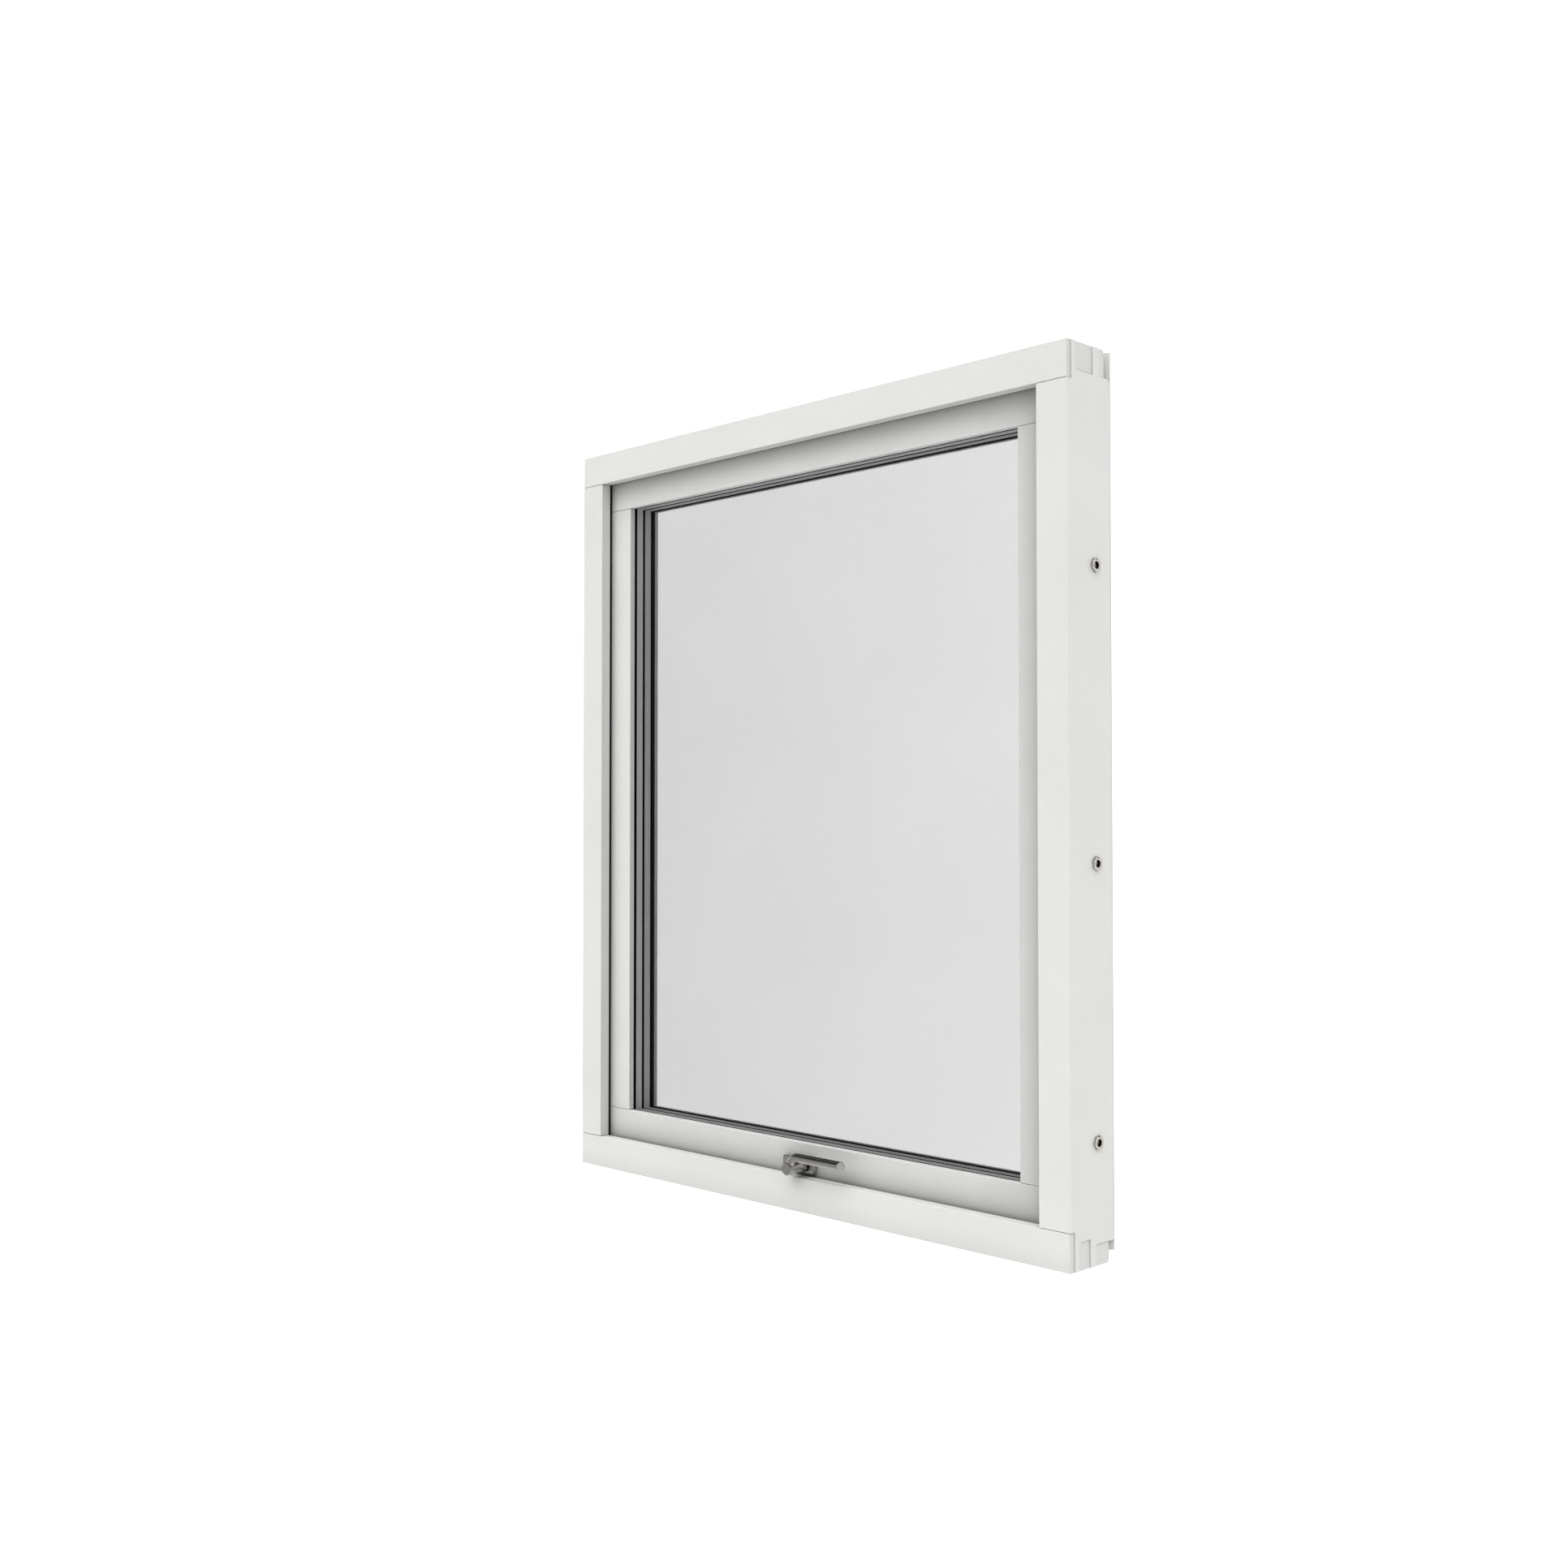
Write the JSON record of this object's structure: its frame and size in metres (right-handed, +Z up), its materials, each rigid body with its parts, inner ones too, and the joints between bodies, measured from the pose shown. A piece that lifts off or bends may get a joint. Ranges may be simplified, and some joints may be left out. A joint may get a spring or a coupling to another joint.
{
  "type": "pivot window",
  "caption": "Pivot window: white painted timber frame and sash with metal outside cladding, sealed glazing, a lever handle low on the sash and screw sleeves in the jambs.",
  "frame": {"origin": "on the underside of the sill, at the middle of the frame's width and of its timber depth", "axes": "+Z up, +Y outdoors, +X to the right seen from the room; the room side faces -Y"},
  "size_m": [0.995, 0.1194, 1.18],
  "materials": {
    "painted_timber": "satin white paint on pine",
    "cladding": "white powder coat",
    "glass": "clear",
    "rubber_seal": "matt black",
    "spacer": "matt grey warm-edge spacer",
    "fixing_steel": "zinc plated",
    "handle_steel": "fine brushed",
    "washer": "matt black"
  },
  "bodies": {
    "window": {"fixing_sleeves_left": "fixing_steel", "fixing_sleeves_right": "fixing_steel", "frame_cladding_head": "cladding", "frame_cladding_left": "cladding", "frame_cladding_right": "cladding", "frame_cladding_sill": "cladding", "frame_head": "painted_timber", "frame_jamb_left": "painted_timber", "frame_jamb_right": "painted_timber", "frame_sill": "painted_timber", "gasket_inner": "rubber_seal", "gasket_outer": "rubber_seal", "glass_inner": "glass", "glass_middle": "glass", "glass_outer": "glass", "handle_rose": "handle_steel", "handle_washer": "washer", "sash_cladding_bottom": "cladding", "sash_cladding_left": "cladding", "sash_cladding_right": "cladding", "sash_cladding_top": "cladding", "sash_rail_bottom": "painted_timber", "sash_rail_top": "painted_timber", "sash_stile_left": "painted_timber", "sash_stile_right": "painted_timber", "spacer_inner": "spacer", "spacer_outer": "spacer", "weatherstrip": "rubber_seal"},
    "handle": {"handle_neck": "handle_steel", "handle_lever": "handle_steel"}
  },
  "joints": [
    {"name": "handle_turn", "type": "hinge", "parent": "window", "child": "handle", "pos_m": [0.013, -0.0309, 0.0648], "axis": [0, -1, 0], "range_deg": [0, 90]}
  ]
}
